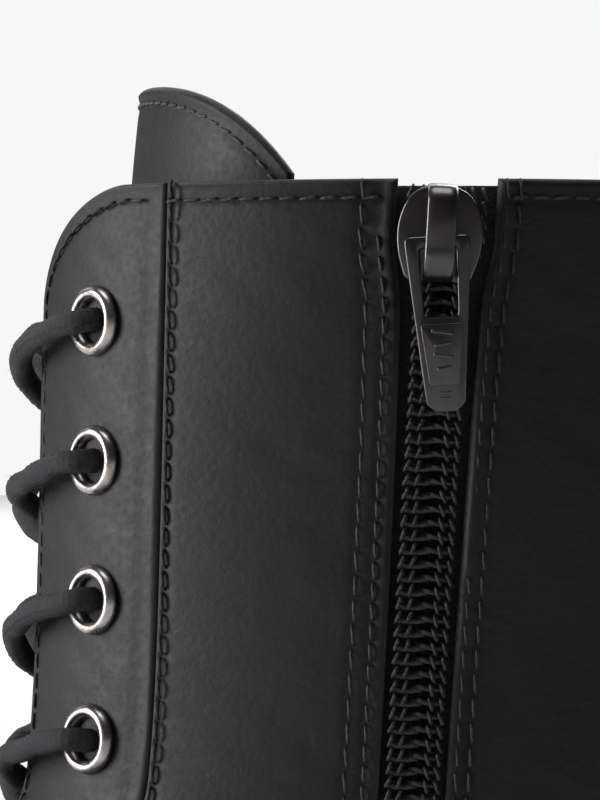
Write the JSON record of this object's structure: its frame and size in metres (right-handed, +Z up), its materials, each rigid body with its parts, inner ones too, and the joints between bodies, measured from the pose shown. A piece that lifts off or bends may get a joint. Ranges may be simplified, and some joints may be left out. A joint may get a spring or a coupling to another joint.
{
  "type": "fire boot",
  "caption": "Black leather lace-up firefighter's boot for the right foot, with a steel toe, a lugged rubber sole and a quick-release zip down its inner side.",
  "frame": {"origin": "on the ground, under the middle of the boot's box", "axes": "+Z up, +Y to the heel, +X to the wearer's inner (zip) side"},
  "size_m": [0.1112, 0.3, 0.255],
  "materials": {
    "leather": "black full-grain leather, fine grain, soft shine",
    "rubber": "matt black nitrile rubber",
    "steel": "plain stamped steel",
    "aramid": "woven anti-puncture layer",
    "fibre_board": "pressed fibre board",
    "footbed_cloth": "grey-black cloth over foam",
    "lining": "dark knitted lining",
    "lace_braid": "round braided black cord with a few stray fibres",
    "black_plastic": "black acetate sleeve",
    "zip_textile": "black woven tape and nylon coil",
    "gunmetal": "polished gunmetal plating",
    "black_enamel": "glossy black enamel on die-cast zinc"
  },
  "bodies": {
    "boot": {"outsole": "rubber", "heel_block": "rubber", "welt": "rubber", "midsole": "rubber", "shank": "steel", "puncture_plate": "aramid", "insole_board": "fibre_board", "footbed": "footbed_cloth", "vamp": "leather", "vamp_lining": "lining", "steel_toe_cap": "steel", "heel_counter": "fibre_board", "backstay": "leather", "lateral_quarter": "leather", "medial_front_quarter": "leather", "medial_rear_quarter": "leather", "lateral_lining": "lining", "medial_front_lining": "lining", "medial_rear_lining": "lining", "medial_facing": "leather", "lateral_facing": "leather", "tongue": "leather", "lace": "lace_braid", "medial_aglet": "black_plastic", "lateral_aglet": "black_plastic", "zip_chain_front": "zip_textile", "zip_chain_rear": "zip_textile", "zip_tape_front": "zip_textile", "zip_tape_rear": "zip_textile", "zip_guard": "leather", "zip_bottom_stop": "gunmetal", "medial_eyelet_1": "gunmetal", "medial_eyelet_2": "gunmetal", "medial_eyelet_3": "gunmetal", "medial_eyelet_4": "gunmetal", "medial_eyelet_5": "gunmetal", "medial_eyelet_6": "gunmetal", "medial_eyelet_7": "gunmetal", "medial_eyelet_8": "gunmetal", "lateral_eyelet_1": "gunmetal", "lateral_eyelet_2": "gunmetal", "lateral_eyelet_3": "gunmetal", "lateral_eyelet_4": "gunmetal", "lateral_eyelet_5": "gunmetal", "lateral_eyelet_6": "gunmetal", "lateral_eyelet_7": "gunmetal", "lateral_eyelet_8": "gunmetal"},
    "slider": {"zip_slider": "black_enamel"},
    "puller": {"zip_puller": "black_enamel"}
  },
  "joints": [
    {"name": "zip_slide", "type": "slide", "parent": "boot", "child": "slider", "axis": [0.048, 0.0583, 0.9971], "range_m": [-0.135, 0], "deforming": ["zip_chain_front", "zip_chain_rear", "zip_tape_front", "zip_tape_rear"]},
    {"name": "puller_swing", "type": "hinge", "parent": "slider", "child": "puller", "pos_m": [0.04531, 0.08456, 0.23236], "axis": [0.0028, -0.9983, 0.0583], "range_deg": [0, 160]}
  ]
}
